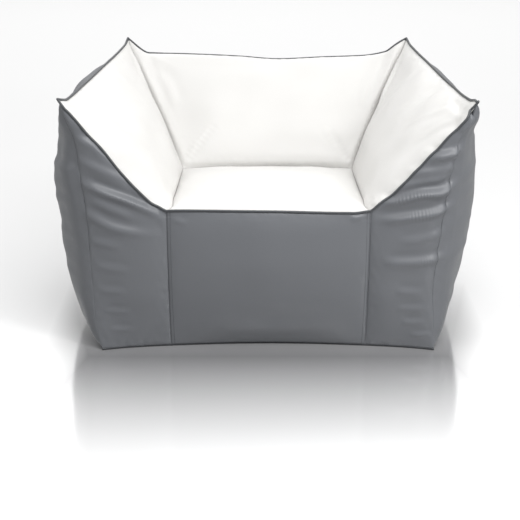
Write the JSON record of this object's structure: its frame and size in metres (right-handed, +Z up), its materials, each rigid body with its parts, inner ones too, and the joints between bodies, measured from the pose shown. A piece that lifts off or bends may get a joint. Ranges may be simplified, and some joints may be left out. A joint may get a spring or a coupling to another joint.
{
  "type": "bean bag armchair",
  "caption": "Low cube-shaped bean bag armchair with a piped rim, sloping padded arms, a deep seat, a rear zip and bead-filled inner bags.",
  "frame": {"origin": "centre of the base on the floor", "axes": "+Z up, the sitter faces -Y, +X to the left hand of someone sitting in it"},
  "size_m": [1.1242, 0.7953, 0.6676],
  "materials": {
    "grey_leatherette": "satin fine-grained polyurethane leatherette, slate grey",
    "white_leatherette": "satin fine-grained polyurethane leatherette, white",
    "piping_leatherette": "dark grey leatherette piping",
    "cord_cotton": "twisted cotton filler cord",
    "base_cloth": "coated woven base cloth, dark grey",
    "zip_tape": "woven polyester zip tape, dark grey",
    "zip_coil": "nylon coil, dark grey",
    "nickel": "nickel-plated metal",
    "partition_cloth": "plain woven polyester cloth",
    "liner_calico": "calico liner cloth",
    "polystyrene_beads": "expanded polystyrene beads",
    "touch_fastener": "nylon hook and loop strip"
  },
  "bodies": {
    "cover": {"base_panel": "base_cloth", "front_panel": "grey_leatherette", "front_left_wing": "grey_leatherette", "front_right_wing": "grey_leatherette", "left_side_panel": "grey_leatherette", "right_side_panel": "grey_leatherette", "upper_back_panel": "grey_leatherette", "lower_back_panel": "grey_leatherette", "seat_panel": "white_leatherette", "backrest_panel": "white_leatherette", "left_arm_panel": "white_leatherette", "right_arm_panel": "white_leatherette", "piping_sleeve": "piping_leatherette", "piping_core": "cord_cotton", "zip_upper_tape": "zip_tape", "zip_lower_tape": "zip_tape", "zip_upper_coil": "zip_coil", "zip_lower_coil": "zip_coil", "zip_end_stops": "nickel", "vent_eyelets": "nickel", "vent_washers": "nickel", "seat_partition": "partition_cloth", "left_arm_partition": "partition_cloth", "right_arm_partition": "partition_cloth", "left_corner_partition": "partition_cloth", "right_corner_partition": "partition_cloth", "seat_liner": "liner_calico", "back_liner": "liner_calico", "left_arm_liner": "liner_calico", "right_arm_liner": "liner_calico", "seat_fill": "polystyrene_beads", "back_fill": "polystyrene_beads", "left_arm_fill": "polystyrene_beads", "right_arm_fill": "polystyrene_beads", "liner_hook_strips": "touch_fastener", "liner_loop_strips": "touch_fastener"},
    "zip_slider": {"zip_slider": "nickel"},
    "zip_pull": {"zip_pull": "nickel"}
  },
  "joints": [
    {"name": "zip_slider_travel", "type": "slide", "parent": "cover", "child": "zip_slider", "axis": [-1, 0, 0], "range_m": [0, 0.77]},
    {"name": "zip_pull_flip", "type": "hinge", "parent": "zip_slider", "child": "zip_pull", "pos_m": [0.385, 0.35575, 0.092], "axis": [0, 0, -1], "range_deg": [0, 180]}
  ]
}
